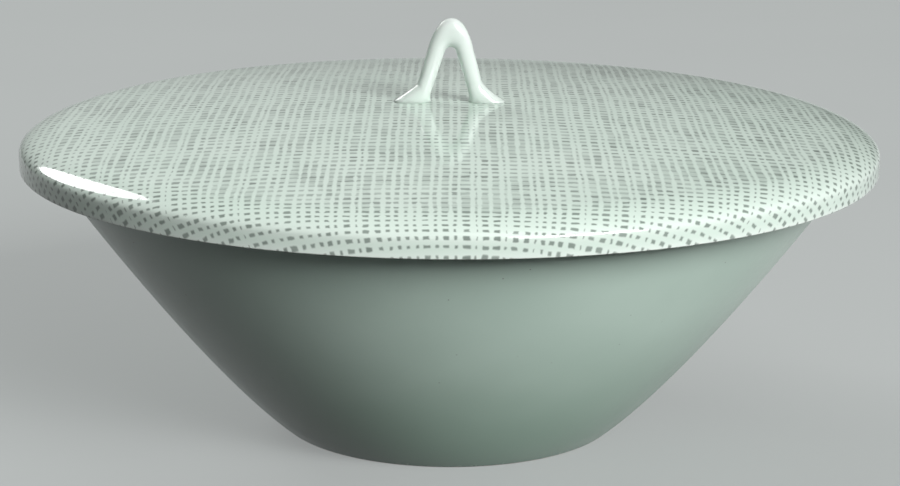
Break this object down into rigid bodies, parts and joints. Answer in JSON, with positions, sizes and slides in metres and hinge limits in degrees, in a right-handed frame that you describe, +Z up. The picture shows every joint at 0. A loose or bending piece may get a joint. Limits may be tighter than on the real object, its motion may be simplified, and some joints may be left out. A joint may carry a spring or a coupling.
{
  "type": "covered vegetable dish",
  "caption": "Round porcelain serving bowl with a flared wall and a low foot ring, closed by a shallow domed lid whose skirt hangs over the lip, lifted by a loop knob.",
  "frame": {"origin": "middle of the foot ring, on the table", "axes": "+Z up the axis of the bowl and lid, +Y away from the viewer through the knob's loop, +X to the right along the loop"},
  "size_m": [0.26, 0.26, 0.1254],
  "materials": {
    "bowl_glaze": "glossy grey-green glaze",
    "lid_glaze": "glossy pale glaze over a grey open-weave print",
    "knob_glaze": "glossy pale glaze"
  },
  "bodies": {
    "bowl": {"bowl": "bowl_glaze"},
    "lid": {"lid": "lid_glaze", "knob": "knob_glaze"}
  },
  "joints": [
    {"name": "lid_lift", "type": "slide", "parent": "bowl", "child": "lid", "axis": [0, 0, 1], "range_m": [0, 0.15]}
  ]
}
